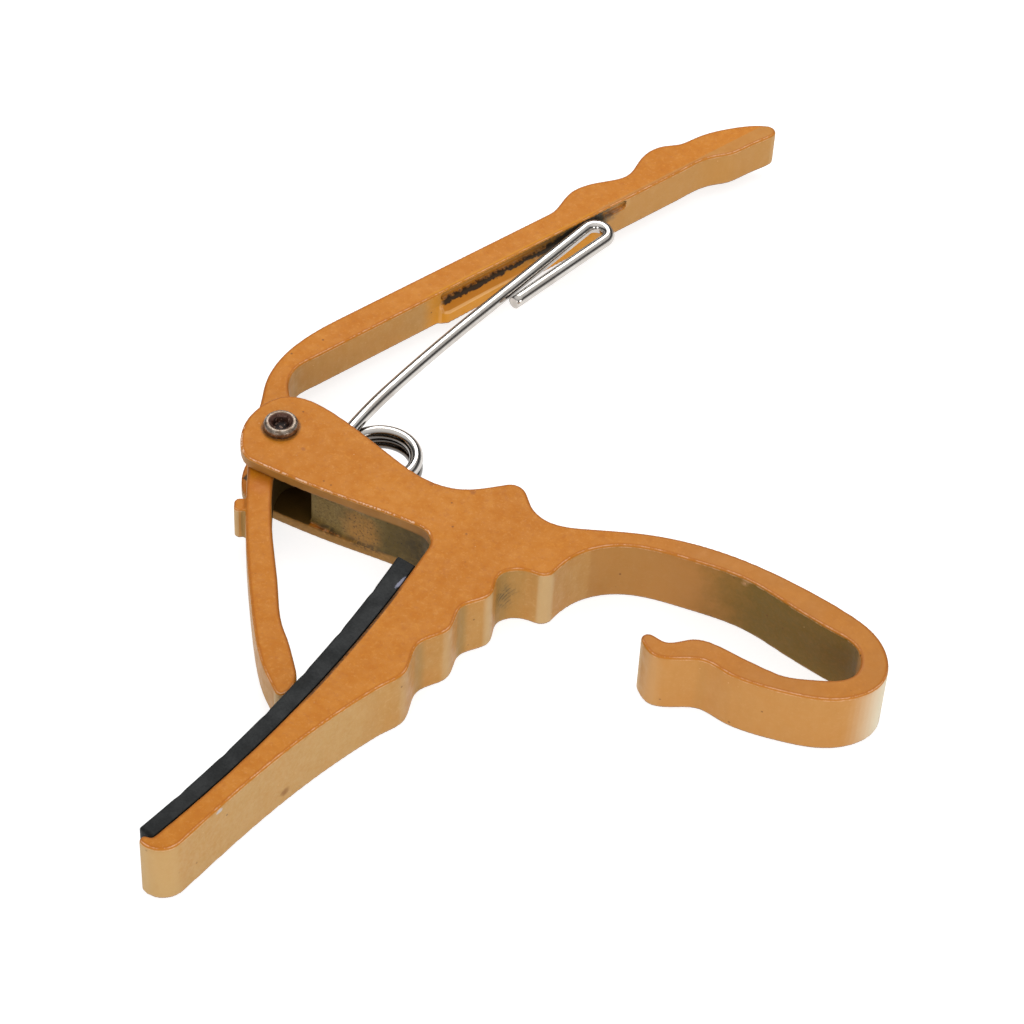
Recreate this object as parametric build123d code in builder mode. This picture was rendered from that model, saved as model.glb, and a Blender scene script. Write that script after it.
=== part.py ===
from build123d import *
import math
import os

# Trigger capo for a guitar neck, lying on its side. Millimetres, +Z up.
# The lower side face of the frame casting lies on z = 0. Outlines are drawn
# on DECK, a plane whose origin is the pivot axis.

# ---- driving dimensions -------------------------------------------------
PIVOT_X = -39.956  # pivot axis, from the middle of the whole part
PIVOT_Y = -15.627
BODY_THICKNESS = 10.0
EAR_THICKNESS = 1.8  # each of the two ears of the clevis
LEVER_THICKNESS = 6.0
CASTING_EDGE = 0.32  # rounding along the edges of both castings

SHOULDER_R = 1.75  # plain part of the pivot screw
SHOULDER_BORE_R = 1.80
THREAD_R = 1.45  # threaded end, in the lower ear
HEAD_R = 2.42
HEAD_HEIGHT = 1.2
HEAD_ROUNDING = 0.6
SOCKET_ACROSS_FLATS = 2.6
SOCKET_DEPTH = 1.6

HUB_R = 4.4  # lever round the pivot
ARM_TIP_R = 0.85
WASHER_R = 3.6
WASHER_THICKNESS = 0.45
WASHER_PLAY = 0.05  # between a thrust washer and the faces beside it

WIRE_R = 0.95  # spring wire
COIL_R = 5.3  # to the middle of the wire
COIL_PITCH = 1.92
COIL_X = 11.6  # coil axis, from the pivot axis
COIL_Y = 6.7
COIL_ENTRY = 186.8  # degrees, where the long leg runs into the coil
COIL_EXIT = 270.0  # where the short leg leaves it, two turns lower
LONG_LEG_Z = 7.1
LONG_LEG_BOW = (5.75, 17.5)  # the long leg's slight bow
LONG_LEG_STRAIGHT = (6.62, 37.5)  # the rest of it is straight
LONG_LEG_RUN = 24.6
HOOK_RETURN = 19.4
SHORT_LEG_LENGTH = 9.0
HOOK_R = 1.84

SEAT_RADIUS = 215.4  # curve of the bar under the pad, to suit a cambered fretboard
SEAT_X = -183.1  # its centre, from the pivot axis
SEAT_Y = -42.0
PAD_FOOT_THICKNESS = 2.3
PAD_HEAD_THICKNESS = 2.85
GLUE_THICKNESS = 0.15
PAD_TOP_Y = -9.2
PAD_END_Y = -64.9

HANDLE_FOOT = (-5.85, 16.0)  # ends of the flat inner face of the handle
HANDLE_HEAD = (12.75, 80.4)
RAIL_START = 21.6  # along that face
RAIL_END = 53.0
RAIL_PROUD = 1.05
GROOVE_START = 21.9  # along that face too
GROOVE_END = 56.8
GROOVE_Z = 6.95
GROOVE_WIDTH = 1.4
GROOVE_DEPTH = 0.7

# ---- derived values -----------------------------------------------------
DECK = Plane((PIVOT_X, PIVOT_Y, 0))
EAR_TOP_Z = BODY_THICKNESS - EAR_THICKNESS
SLOT_HEIGHT = EAR_TOP_Z - EAR_THICKNESS
LEVER_Z = (BODY_THICKNESS - LEVER_THICKNESS) / 2
WASHER_SEAT_DEPTH = WASHER_THICKNESS + 2 * WASHER_PLAY - (LEVER_Z - EAR_THICKNESS)
COIL_TURNS = 2 + (COIL_EXIT - COIL_ENTRY) / 360
COIL_HEIGHT = COIL_PITCH * COIL_TURNS
SHORT_LEG_Z = LONG_LEG_Z - COIL_HEIGHT
COIL_ROOM = COIL_R + WIRE_R + 0.35  # radius of the pocket round the coil
WEB_Y = COIL_Y - COIL_ROOM
HANDLE_DIRECTION = (Vector(HANDLE_HEAD) - Vector(HANDLE_FOOT)).normalized()
HANDLE_NORMAL = Vector(HANDLE_DIRECTION.Y, -HANDLE_DIRECTION.X)


def deck_point(x, y, z):
    """A point given from the pivot axis, in the part's own frame."""
    return DECK.origin + Vector(x, y, z)


def on_handle(distance, z):
    """A point on the inner face of the handle, at a distance from its foot."""
    foot = deck_point(HANDLE_FOOT[0], HANDLE_FOOT[1], z)
    return foot + HANDLE_DIRECTION * distance


def across_handle(distance):
    """Plane square to the handle, its x pointing out of the inner face and its y up."""
    return Plane(on_handle(distance, 0), x_dir=HANDLE_NORMAL, z_dir=HANDLE_DIRECTION * -1)


def rail_section(proud):
    """Bevelled rail on the lower half of the inner face, standing proud by a given amount."""
    Polygon(
        (-1.0, 6.0), (0.0, 6.0), (proud, 4.3), (0.8 * proud, 2.1), (-1.0, 2.1), align=None
    )


def seat_point(radius, y):
    """The point at height y on a circle about the centre of the seat."""
    return (SEAT_X + math.sqrt(radius**2 - (y - SEAT_Y) ** 2), y)


def seat_arc(radius, first_y, last_y):
    """The stretch of such a circle between two heights."""
    return RadiusArc(seat_point(radius, first_y), seat_point(radius, last_y), -radius)


def strip_outline(back_radius, foot_thickness, head_thickness):
    """Outline of a strip along the seat, with a thickness at each end."""
    back = seat_arc(back_radius, PAD_END_Y, PAD_TOP_Y)
    foot = seat_point(back_radius - foot_thickness, PAD_END_Y)
    head = seat_point(back_radius - head_thickness, PAD_TOP_Y)
    Line(back @ 0, foot)
    RadiusArc(foot, head, foot_thickness - back_radius)
    Line(head, back @ 1)


def flow(*points, tangents):
    """A smooth curve through points, leaving and arriving in the given directions."""
    return Spline(*points, tangents=tangents, tangent_scalars=(1, 1))


# ---- frame casting: clevis, string bar with finger grip, curled tail ------
with BuildPart() as frame_casting:
    with BuildSketch(DECK):
        with BuildLine():
            ear_end = flow(
                (0.6, -7.4), (-3.2, -4.9), (-4.9, 0.1), (-3.3, 5.2), (2.6, 6.8),
                tangents=[(-1, -0.1), (1, -0.05)],
            )
            ear_top = flow(
                ear_end @ 1, (9.4, 6.0), (16.5, 4.7), (21.5, 4.25), (26.3, 5.6), (30.8, 10.1),
                tangents=[ear_end % 1, (0.66, 0.75)],
            )
            spur = TangentArc(ear_top @ 1, (33.5, 10.55), tangent=ear_top % 1)
            tail_top = flow(
                spur @ 1, (35.9, 8.7), (39.3, 7.9), (44.1, 9.9), (51.5, 14.2), (61.0, 17.4),
                (71.7, 18.5), (81.0, 18.1),
                tangents=[spur % 1, (1, -0.12)],
            )
            tail_end = flow(
                tail_top @ 1, (86.4, 16.2), (89.8, 10.6), (87.4, 5.3), (80.5, 1.5), (73.6, -0.2),
                tangents=[tail_top % 1, (-1, -0.1)],
            )
            hook_outside = flow(
                tail_end @ 1, (69.4, -0.2), (66.1, -2.3), (63.4, -3.4), (60.9, -2.2),
                tangents=[tail_end % 1, (-0.8, 0.6)],
            )
            hook_tip = TangentArc(hook_outside @ 1, (61.3, -0.55), tangent=hook_outside % 1)
            hook_inside = flow(
                hook_tip @ 1, (63.4, -0.5), (66.0, 2.0), (70.2, 3.2), (76.1, 3.5),
                tangents=[hook_tip % 1, (1, 0.1)],
            )
            loop_floor = Line(hook_inside @ 1, (77.6, 3.65))
            loop_end = flow(
                loop_floor @ 1, (82.0, 5.5), (86.1, 9.8), (84.2, 13.5), (78.5, 14.3),
                tangents=[loop_floor % 1, (-1, 0.06)],
            )
            loop_roof = Line(loop_end @ 1, (74.5, 14.54))
            loop_top = flow(
                loop_roof @ 1, (67.0, 15.1), (57.9, 13.4), (49.7, 10.2), (45.95, 5.6), (45.1, 0.9),
                tangents=[loop_roof % 1, (0, -1)],
            )
            shoulder = TangentArc(loop_top @ 1, (43.6, -0.9), tangent=loop_top % 1)
            grip = flow(
                shoulder @ 1, (41.2, -1.7), (39.65, -4.1), (40.75, -7.5), (38.95, -11.7),
                (39.95, -15.7), (38.3, -20.0), (39.8, -25.2), (38.6, -29.5),
                tangents=[shoulder % 1, (-0.26, -1)],
            )
            bar_back = flow(
                grip @ 1, (36.65, -38.4), (35.25, -49.0), (34.35, -63.6),
                tangents=[grip % 1, (-0.05, -1)],
            )
            bar_end = TangentArc(bar_back @ 1, (30.4, -66.6), tangent=bar_back % 1)
            lip_tip = TangentArc(bar_end @ 1, (30.15, -65.4), tangent=bar_end % 1)
            seat = seat_arc(SEAT_RADIUS, PAD_END_Y, -5.9)
            flow(lip_tip @ 1, seat @ 0, tangents=[lip_tip % 1, seat % 0])
            corner = TangentArc(seat @ 1, (26.0, -3.42), tangent=seat % 1)
            ear_bottom = flow(
                corner @ 1, (14.3, -5.5), ear_end @ 0,
                tangents=[corner % 1, ear_end % 0],
            )
        make_face()
    extrude(amount=BODY_THICKNESS)
    fillet(frame_casting.faces().filter_by(Axis.Z).edges(), radius=CASTING_EDGE)

    # clevis slot: open round the pivot and along the top of the ears, closed by a
    # web along their lower side, and shaped to the coil at its inner end
    with BuildSketch(DECK.offset(EAR_THICKNESS)):
        with BuildLine():
            hug = CenterArc((COIL_X, COIL_Y), COIL_ROOM, -90, 90)
            Polyline(
                hug @ 1, (COIL_X + COIL_ROOM, 12), (-14, 12), (-14, -12), (9.2, -12),
                (9.2, WEB_Y), hug @ 0,
            )
        make_face()
        with BuildLine():
            Polyline((9.0, -12), (9.0, -5.4), (19.8, -4.55), (19.8, -12), close=True)
        make_face()
    extrude(amount=SLOT_HEIGHT, mode=Mode.SUBTRACT)

    # channel for the short leg of the spring
    with BuildSketch(DECK.offset(EAR_THICKNESS)):
        with Locations((COIL_X + 4.8, WEB_Y + 1.3)):
            Rectangle(SHORT_LEG_LENGTH + 1.0, 2.6)
    extrude(amount=2.2, mode=Mode.SUBTRACT)

    # pivot bores
    with BuildSketch(DECK.offset(EAR_TOP_Z)):
        Circle(SHOULDER_BORE_R)
    extrude(amount=EAR_THICKNESS, mode=Mode.SUBTRACT)
    with BuildSketch(DECK):
        Circle(THREAD_R + 0.03)
    extrude(amount=EAR_THICKNESS, mode=Mode.SUBTRACT)

# ---- lever casting: handle and neck arm in one ----------------------------
with BuildPart() as lever_casting:
    with BuildSketch(DECK.offset(LEVER_Z)):
        with BuildLine():
            heel = flow(
                (-4.35, -1.3), (-6.1, 2.8), (-8.3, 6.9), (-9.8, 12.4), (-9.5, 18.6), (-8.3, 23.6),
                tangents=[(-0.585, 0.81), (0.284, 0.959)],
            )
            back = Line(heel @ 1, (2.6, 60.6))
            finger_humps = flow(
                back @ 1, (2.35, 66.4), (4.3, 71.0), (6.85, 75.1), (6.3, 79.9), (7.5, 84.1),
                (9.15, 86.0), (10.1, 88.4), (13.5, 94.2), (17.5, 97.8),
                tangents=[back % 1, (0.9, 0.44)],
            )
            handle_tip = TangentArc(finger_humps @ 1, (19.35, 96.3), tangent=finger_humps % 1)
            thumb_swell = flow(
                handle_tip @ 1, (18.2, 93.2), (17.35, 90.6), (16.5, 88.6), (15.2, 86.9),
                (14.1, 85.0), HANDLE_HEAD,
                tangents=[handle_tip % 1, HANDLE_DIRECTION * -1],
            )
            inner_face = Line(thumb_swell @ 1, HANDLE_FOOT)
            bend = flow(
                inner_face @ 1, (-6.75, 12.4), (-5.6, 8.9), (-2.2, 6.0), (1.96, 3.94),
                tangents=[HANDLE_DIRECTION * -1, (0.89, -0.44)],
            )
            hub_side = ThreePointArc(bend @ 1, (HUB_R, 0), (3.60, -2.53))
            arm_inside = flow(
                hub_side @ 1, (3.3, -5.0), (4.9, -8.2), (11.1, -15.9), (16.7, -22.0),
                (21.5, -27.05), (23.1, -28.2), (26.4, -31.0), (28.3, -33.0),
                tangents=[hub_side % 1, (0.5, -0.87)],
            )
            arm_end = TangentArc(arm_inside @ 1, (28.75, -35.9), tangent=arm_inside % 1)
            arm_tip = JernArc(arm_end @ 1, arm_end % 1, ARM_TIP_R, -111)
            arm_outside = flow(
                arm_tip @ 1, (24.2, -34.45), (19.9, -30.85), (14.4, -25.1), (5.0, -14.2), heel @ 0,
                tangents=[arm_tip % 1, heel % 0],
            )
        make_face()
    extrude(amount=LEVER_THICKNESS)
    fillet(lever_casting.faces().filter_by(Axis.Z).edges(), radius=CASTING_EDGE)

    # small tab on the outer side of the arm
    with BuildSketch(
        Plane(deck_point(3.87, -12.65, LEVER_Z + 0.2), x_dir=(0.585, -0.81, 0), z_dir=(0, 0, 1))
    ):
        RectangleRounded(2.2, 3.2, 0.5)
    extrude(amount=LEVER_THICKNESS - 0.5)

    # rail along the inner face, and the groove above it in which the hook slides
    with BuildSketch(across_handle(RAIL_START)):
        rail_section(0.35)
    with BuildSketch(across_handle(RAIL_START + 1.1)):
        rail_section(RAIL_PROUD)
    with BuildSketch(across_handle(RAIL_END)):
        rail_section(0.15)
    loft(ruled=True)
    with BuildSketch(
        Plane(
            on_handle((GROOVE_START + GROOVE_END) / 2, GROOVE_Z),
            x_dir=HANDLE_DIRECTION,
            z_dir=HANDLE_NORMAL,
        )
    ):
        SlotOverall(GROOVE_END - GROOVE_START, GROOVE_WIDTH)
    extrude(amount=-GROOVE_DEPTH, mode=Mode.SUBTRACT)

    # pivot bore, with a seat for a thrust washer on each side
    with BuildSketch(DECK.offset(LEVER_Z)):
        Circle(SHOULDER_BORE_R)
    extrude(amount=LEVER_THICKNESS, mode=Mode.SUBTRACT)
    for seat_z in (LEVER_Z, LEVER_Z + LEVER_THICKNESS - WASHER_SEAT_DEPTH):
        with BuildSketch(DECK.offset(seat_z)):
            Circle(WASHER_R + 0.25)
        extrude(amount=WASHER_SEAT_DEPTH, mode=Mode.SUBTRACT)

# ---- torsion spring: coil, long leg with a hooked end, short leg ----------
entry = math.radians(COIL_ENTRY)
coil_in = deck_point(
    COIL_X + COIL_R * math.cos(entry), COIL_Y + COIL_R * math.sin(entry), LONG_LEG_Z
)
coil_out = deck_point(COIL_X, COIL_Y - COIL_R, SHORT_LEG_Z)

with BuildLine(
    Plane(deck_point(COIL_X, COIL_Y, SHORT_LEG_Z), x_dir=(0, -1, 0), z_dir=(0, 0, 1))
) as coil_line:
    Helix(pitch=COIL_PITCH, height=COIL_HEIGHT, radius=COIL_R, lefthand=True)

with BuildLine() as long_leg_line:
    leg_root = TangentArc(
        coil_in, deck_point(*LONG_LEG_BOW, LONG_LEG_Z),
        tangent=(math.sin(entry), -math.cos(entry), 0),
    )
    leg_bow = TangentArc(
        leg_root @ 1, deck_point(*LONG_LEG_STRAIGHT, LONG_LEG_Z), tangent=leg_root % 1
    )
    leg_run = Line(leg_bow @ 1, leg_bow @ 1 + (leg_bow % 1) * LONG_LEG_RUN)
    leg_hook = JernArc(leg_run @ 1, leg_run % 1, HOOK_R, -184.4)
    leg_return = Line(leg_hook @ 1, leg_hook @ 1 + (leg_hook % 1) * HOOK_RETURN)

with BuildPart() as torsion_spring:
    with BuildSketch(Plane(coil_line.line @ 0, z_dir=coil_line.line % 0)):
        Circle(WIRE_R)
    sweep(path=coil_line.line, is_frenet=True)
    with BuildSketch(Plane(coil_in, z_dir=leg_root % 0)):
        Circle(WIRE_R)
    sweep(path=long_leg_line.line)
    with BuildSketch(Plane(coil_out, z_dir=(1, 0, 0))):
        Circle(WIRE_R)
    extrude(amount=SHORT_LEG_LENGTH)
    with Locations(coil_in, coil_out):
        Sphere(WIRE_R)

# ---- string pad and the adhesive film under it ----------------------------
with BuildPart() as string_pad:
    with BuildSketch(DECK.offset(0.2)):
        with BuildLine():
            strip_outline(
                SEAT_RADIUS - GLUE_THICKNESS, PAD_FOOT_THICKNESS, PAD_HEAD_THICKNESS
            )
        make_face()
    extrude(amount=BODY_THICKNESS - 0.4)
    pad_face = string_pad.faces().filter_by(GeomType.CYLINDER).sort_by(Axis.X)[0]
    fillet(pad_face.edges(), radius=0.3)

with BuildPart() as pad_adhesive:
    with BuildSketch(DECK.offset(0.6)):
        with BuildLine():
            strip_outline(SEAT_RADIUS, GLUE_THICKNESS, GLUE_THICKNESS)
        make_face()
    extrude(amount=BODY_THICKNESS - 1.2)

# ---- pivot screw and its two thrust washers --------------------------------
with BuildPart() as pivot_screw:
    with BuildSketch(DECK.offset(0.1)):
        Circle(THREAD_R)
    extrude(amount=EAR_THICKNESS)
    chamfer(pivot_screw.edges().sort_by(Axis.Z)[0], length=0.25)
    with BuildSketch(DECK.offset(EAR_THICKNESS + 0.02)):
        Circle(SHOULDER_R)
    extrude(amount=BODY_THICKNESS - EAR_THICKNESS)
    with BuildSketch(DECK.offset(BODY_THICKNESS + 0.02)):
        Circle(HEAD_R)
    extrude(amount=HEAD_HEIGHT)
    fillet(pivot_screw.edges().sort_by(Axis.Z)[-1], radius=HEAD_ROUNDING)
    with BuildSketch(DECK.offset(BODY_THICKNESS + HEAD_HEIGHT + 0.02)):
        RegularPolygon(SOCKET_ACROSS_FLATS / 2, 6, major_radius=False)
    extrude(amount=-SOCKET_DEPTH, mode=Mode.SUBTRACT)

with BuildPart() as thrust_washer_lower:
    with BuildSketch(DECK.offset(EAR_THICKNESS + WASHER_PLAY)):
        Circle(WASHER_R)
        Circle(SHOULDER_BORE_R, mode=Mode.SUBTRACT)
    extrude(amount=WASHER_THICKNESS)

with BuildPart() as thrust_washer_upper:
    with BuildSketch(DECK.offset(EAR_TOP_Z - WASHER_PLAY - WASHER_THICKNESS)):
        Circle(WASHER_R)
        Circle(SHOULDER_BORE_R, mode=Mode.SUBTRACT)
    extrude(amount=WASHER_THICKNESS)

# ---- one file for each piece ------------------------------------------------
os.makedirs("parts", exist_ok=True)
PIECES = {
    "frame_casting": frame_casting,
    "lever_casting": lever_casting,
    "torsion_spring": torsion_spring,
    "string_pad": string_pad,
    "pad_adhesive": pad_adhesive,
    "pivot_screw": pivot_screw,
    "thrust_washer_lower": thrust_washer_lower,
    "thrust_washer_upper": thrust_washer_upper,
}
for piece_name, piece in PIECES.items():
    piece.part.label = piece_name
    export_step(piece.part, f"parts/{piece_name}.step")
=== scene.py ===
import math

import bpy
import numpy as np
from mathutils import Matrix, Vector


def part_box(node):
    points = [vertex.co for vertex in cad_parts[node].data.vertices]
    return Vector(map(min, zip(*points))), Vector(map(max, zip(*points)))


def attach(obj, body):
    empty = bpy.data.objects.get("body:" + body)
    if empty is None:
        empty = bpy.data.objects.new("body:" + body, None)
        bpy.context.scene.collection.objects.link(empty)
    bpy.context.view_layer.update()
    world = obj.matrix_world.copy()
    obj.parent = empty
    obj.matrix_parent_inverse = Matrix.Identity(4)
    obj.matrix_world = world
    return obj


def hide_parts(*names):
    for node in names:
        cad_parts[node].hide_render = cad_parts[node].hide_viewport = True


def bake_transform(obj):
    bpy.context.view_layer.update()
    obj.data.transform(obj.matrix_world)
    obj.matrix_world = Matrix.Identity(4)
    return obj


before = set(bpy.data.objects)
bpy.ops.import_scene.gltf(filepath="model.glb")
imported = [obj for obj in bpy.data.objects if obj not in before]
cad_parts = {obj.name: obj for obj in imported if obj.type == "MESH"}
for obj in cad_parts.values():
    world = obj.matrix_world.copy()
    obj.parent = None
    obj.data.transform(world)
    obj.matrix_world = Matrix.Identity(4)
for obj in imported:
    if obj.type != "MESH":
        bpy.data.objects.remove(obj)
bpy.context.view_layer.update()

MM = 0.001
lo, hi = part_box("pivot_screw")
PIVOT = Vector(((lo.x + hi.x) / 2, (lo.y + hi.y) / 2, 0.0))  # pivot axis, at the floor


def at(x, y, z=0.0):
    """A place given in millimetres from the pivot axis and up from the floor, in metres."""
    return PIVOT + Vector((x, y, z)) * MM


# ---- mesh helpers -----------------------------------------------------------
def new_object(name, mesh, body, node):
    """A shown piece made of a mesh, standing for a CAD node; it rides a body when one is given."""
    piece = bpy.data.objects.new(name, mesh)
    bpy.context.scene.collection.objects.link(piece)
    mesh.polygons.foreach_set("use_smooth", [True] * len(mesh.polygons))
    if body:
        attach(piece, body)
    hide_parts(node)
    return piece


def mesh_from(name, verts, faces):
    """A mesh from its vertices and faces."""
    mesh = bpy.data.meshes.new(name)
    mesh.from_pydata([tuple(v) for v in verts], [], faces)
    mesh.update()
    return mesh


def vertex_arrays(mesh):
    """Positions and edges of a mesh as arrays."""
    points = np.empty(len(mesh.vertices) * 3)
    mesh.vertices.foreach_get("co", points)
    edges = np.empty(len(mesh.edges) * 2, dtype=np.int64)
    mesh.edges.foreach_get("vertices", edges)
    return points.reshape(-1, 3), edges.reshape(-1, 2)


def blurred(values, edges, rounds):
    """Values at the vertices averaged with their neighbours a number of times."""
    out = values.astype(float).copy()
    first, second = edges[:, 0], edges[:, 1]
    degree = np.bincount(edges.ravel(), minlength=len(out)).astype(float)
    degree = degree.reshape((-1,) + (1,) * (out.ndim - 1))
    for _ in range(rounds):
        total = np.zeros_like(out)
        np.add.at(total, first, out[second])
        np.add.at(total, second, out[first])
        out = 0.5 * out + 0.5 * total / np.maximum(degree, 1)
    return out


def store(mesh, name, values):
    """Keeps one number per vertex where a material can read it."""
    layer = mesh.attributes.new(name, "FLOAT", "POINT")
    layer.data.foreach_set("value", np.ascontiguousarray(values, dtype=np.float32))


QUICK_VOXEL = 0.00034
FINE_VOXEL = 0.00022
UPRIGHT = 0.4  # a face is upright while its normal's vertical part is below this
NORMAL_ROUNDS = 6
BEND_ROUNDS = 14  # at the quick voxel size; finer meshes need more for the same reach


def sideways_bend(mesh, voxel):
    """How sharply the upright faces turn about the vertical, per millimetre: above zero on a crest."""
    points, edges = vertex_arrays(mesh)
    normals = np.empty(len(points) * 3)
    mesh.vertices.foreach_get("normal", normals)
    normals = normals.reshape(-1, 3)
    upright = np.abs(normals[:, 2]) < UPRIGHT
    edges = edges[upright[edges[:, 0]] & upright[edges[:, 1]]]
    across = blurred(normals[:, :2], edges, NORMAL_ROUNDS)
    step = points[edges[:, 1], :2] - points[edges[:, 0], :2]
    turn = across[edges[:, 1]] - across[edges[:, 0]]
    gap = (step * step).sum(1)
    level_edge = gap > (0.4 * voxel) ** 2  # edges that run up a wall say nothing
    ends = edges[level_edge]
    bend = (turn * step).sum(1)[level_edge] / gap[level_edge] * MM
    total = np.bincount(ends.ravel(), np.repeat(bend, 2), len(points))
    met = np.bincount(ends.ravel(), minlength=len(points))
    return blurred(total / np.maximum(met, 1), edges, int(BEND_ROUNDS * (QUICK_VOXEL / voxel) ** 2))


def cast_skin(node, voxel):
    """A fine even mesh over a CAD casting, with the softness of a die-cast and painted part."""
    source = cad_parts[node]
    work = bpy.data.objects.new("work", source.data.copy())
    bpy.context.scene.collection.objects.link(work)
    remesh = work.modifiers.new("remesh", "REMESH")
    remesh.mode = "VOXEL"
    remesh.voxel_size = voxel
    remesh.use_smooth_shade = True
    depsgraph = bpy.context.evaluated_depsgraph_get()
    mesh = bpy.data.meshes.new_from_object(work.evaluated_get(depsgraph))
    bpy.data.objects.remove(work)
    mesh.materials.clear()
    points, edges = vertex_arrays(mesh)
    soft = blurred(points, edges, 1)
    mesh.vertices.foreach_set("co", soft.ravel())
    mesh.update()
    store(mesh, "bend", sideways_bend(mesh, voxel))
    return mesh


# ---- node helpers -------------------------------------------------------------
class Nodes:
    """Short ways to write a node material."""

    def __init__(self, name):
        self.material = bpy.data.materials.new(name)
        self.material.use_nodes = True
        self.tree = self.material.node_tree
        self.tree.nodes.clear()
        self.output = self.tree.nodes.new("ShaderNodeOutputMaterial")
        self.shader = self.tree.nodes.new("ShaderNodeBsdfPrincipled")
        self.tree.links.new(self.shader.outputs[0], self.output.inputs[0])
        self.place = self.tree.nodes.new("ShaderNodeTexCoord").outputs["Object"]

    def link(self, value, socket):
        """Feeds a socket from another socket, or sets it to a colour or a number."""
        if isinstance(value, bpy.types.NodeSocket):
            self.tree.links.new(value, socket)
        elif isinstance(value, (tuple, list)) and len(value) == 3 and socket.type == "RGBA":
            socket.default_value = (*value, 1.0)
        else:
            socket.default_value = value

    def noise(self, scale, detail=4.0, rough=0.55, place=None):
        """Noise with features a given number of millimetres across."""
        node = self.tree.nodes.new("ShaderNodeTexNoise")
        self.link(place or self.place, node.inputs["Vector"])
        node.inputs["Scale"].default_value = 1000.0 / scale
        node.inputs["Detail"].default_value = detail
        node.inputs["Roughness"].default_value = rough
        return node.outputs["Fac"]

    def cells(self, scale):
        """Distance from the nearest of scattered points a given number of millimetres apart."""
        node = self.tree.nodes.new("ShaderNodeTexVoronoi")
        self.link(self.place, node.inputs["Vector"])
        node.inputs["Scale"].default_value = 1000.0 / scale
        return node.outputs["Distance"]

    def stretched(self, x, y, z):
        """The place with each axis multiplied."""
        node = self.tree.nodes.new("ShaderNodeMapping")
        self.link(self.place, node.inputs["Vector"])
        node.inputs["Scale"].default_value = (x, y, z)
        return node.outputs[0]

    def band(self, value, low, high, out_low=0.0, out_high=1.0):
        """Value mapped smoothly from low..high to out_low..out_high."""
        node = self.tree.nodes.new("ShaderNodeMapRange")
        node.interpolation_type = "SMOOTHSTEP"
        self.link(value, node.inputs["Value"])
        node.inputs["From Min"].default_value = low
        node.inputs["From Max"].default_value = high
        node.inputs["To Min"].default_value = out_low
        node.inputs["To Max"].default_value = out_high
        return node.outputs["Result"]

    def math(self, operation, a, b=0.0):
        """One step of arithmetic on numbers."""
        node = self.tree.nodes.new("ShaderNodeMath")
        node.operation = operation
        self.link(a, node.inputs[0])
        self.link(b, node.inputs[1])
        return node.outputs[0]

    def mix(self, factor, a, b):
        """Colour a turning into colour b as the factor goes from 0 to 1."""
        node = self.tree.nodes.new("ShaderNodeMix")
        node.data_type = "RGBA"
        self.link(factor, node.inputs["Factor"])
        self.link(a, node.inputs[6])
        self.link(b, node.inputs[7])
        return node.outputs[2]

    def openness(self, reach):
        """How open the piece's own surface is within a distance in metres: 0 in a deep corner."""
        node = self.tree.nodes.new("ShaderNodeAmbientOcclusion")
        node.inputs["Distance"].default_value = reach
        node.samples = 8
        node.only_local = True
        return node.outputs["AO"]

    def kept(self, name):
        """A number stored on the mesh's vertices."""
        node = self.tree.nodes.new("ShaderNodeAttribute")
        node.attribute_name = name
        return node.outputs["Fac"]

    def vector(self, operation, a, b=None):
        """One step of arithmetic on vectors."""
        node = self.tree.nodes.new("ShaderNodeVectorMath")
        node.operation = operation
        self.link(a, node.inputs[0])
        if b is not None:
            node.inputs[1].default_value = b
        return node.outputs["Value" if operation in ("LENGTH", "DOT_PRODUCT") else "Vector"]

    def away(self, centre, stretch=(1, 1, 1)):
        """Distance from a place in metres, with each axis multiplied."""
        offset = self.vector("SUBTRACT", self.place, centre)
        return self.vector("LENGTH", self.vector("MULTIPLY", offset, stretch))

    def spot(self, centre, radius, stretch=(1, 1, 1), soft=0.6, ragged=0.0):
        """1 inside a spot about a place in metres, fading out over its rim."""
        distance = self.away(centre, stretch)
        if ragged:
            wobble = self.noise(radius / MM * 0.8, 3.0)
            push = self.math("MULTIPLY", self.math("SUBTRACT", wobble, 0.5), ragged * radius)
            distance = self.math("ADD", distance, push)
        return self.band(distance, radius * (1 - soft), radius, 1.0, 0.0)

    def bump(self, height, distance, strength, below=None):
        """Small relief, on top of another relief where one is given."""
        node = self.tree.nodes.new("ShaderNodeBump")
        node.inputs["Distance"].default_value = distance
        node.inputs["Strength"].default_value = strength
        self.link(height, node.inputs["Height"])
        if below:
            self.link(below, node.inputs["Normal"])
        return node.outputs[0]

    def part_of(self, vector, axis):
        """One of a vector's three numbers."""
        node = self.tree.nodes.new("ShaderNodeSeparateXYZ")
        self.link(vector, node.inputs[0])
        return node.outputs[axis]

    def surface(self):
        """The surface's own outward direction."""
        return self.tree.nodes.new("ShaderNodeNewGeometry").outputs["Normal"]

    def along(self, vector, direction):
        """How far a vector goes in a direction."""
        return self.vector("DOT_PRODUCT", vector, direction)

    def within(self, value, low, high, soft):
        """1 while a value lies between two limits, fading out past them."""
        rise = self.band(value, low - soft, low)
        fall = self.band(value, high, high + soft, 1.0, 0.0)
        return self.math("MULTIPLY", rise, fall)

    def all_of(self, *masks):
        """The product of several masks."""
        total = masks[0]
        for mask in masks[1:]:
            total = self.math("MULTIPLY", total, mask)
        return total

    def inside_box(self, low, high, soft):
        """1 inside a box between two places in metres, fading out past its sides."""
        masks = []
        for axis in range(3):
            masks.append(self.within(self.part_of(self.place, axis), low[axis], high[axis], soft))
        return self.all_of(*masks)

    def set(self, **values):
        """Sets the shader's sockets; underscores stand for spaces."""
        for name, value in values.items():
            self.link(value, self.shader.inputs[name.replace("_", " ")])


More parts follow.
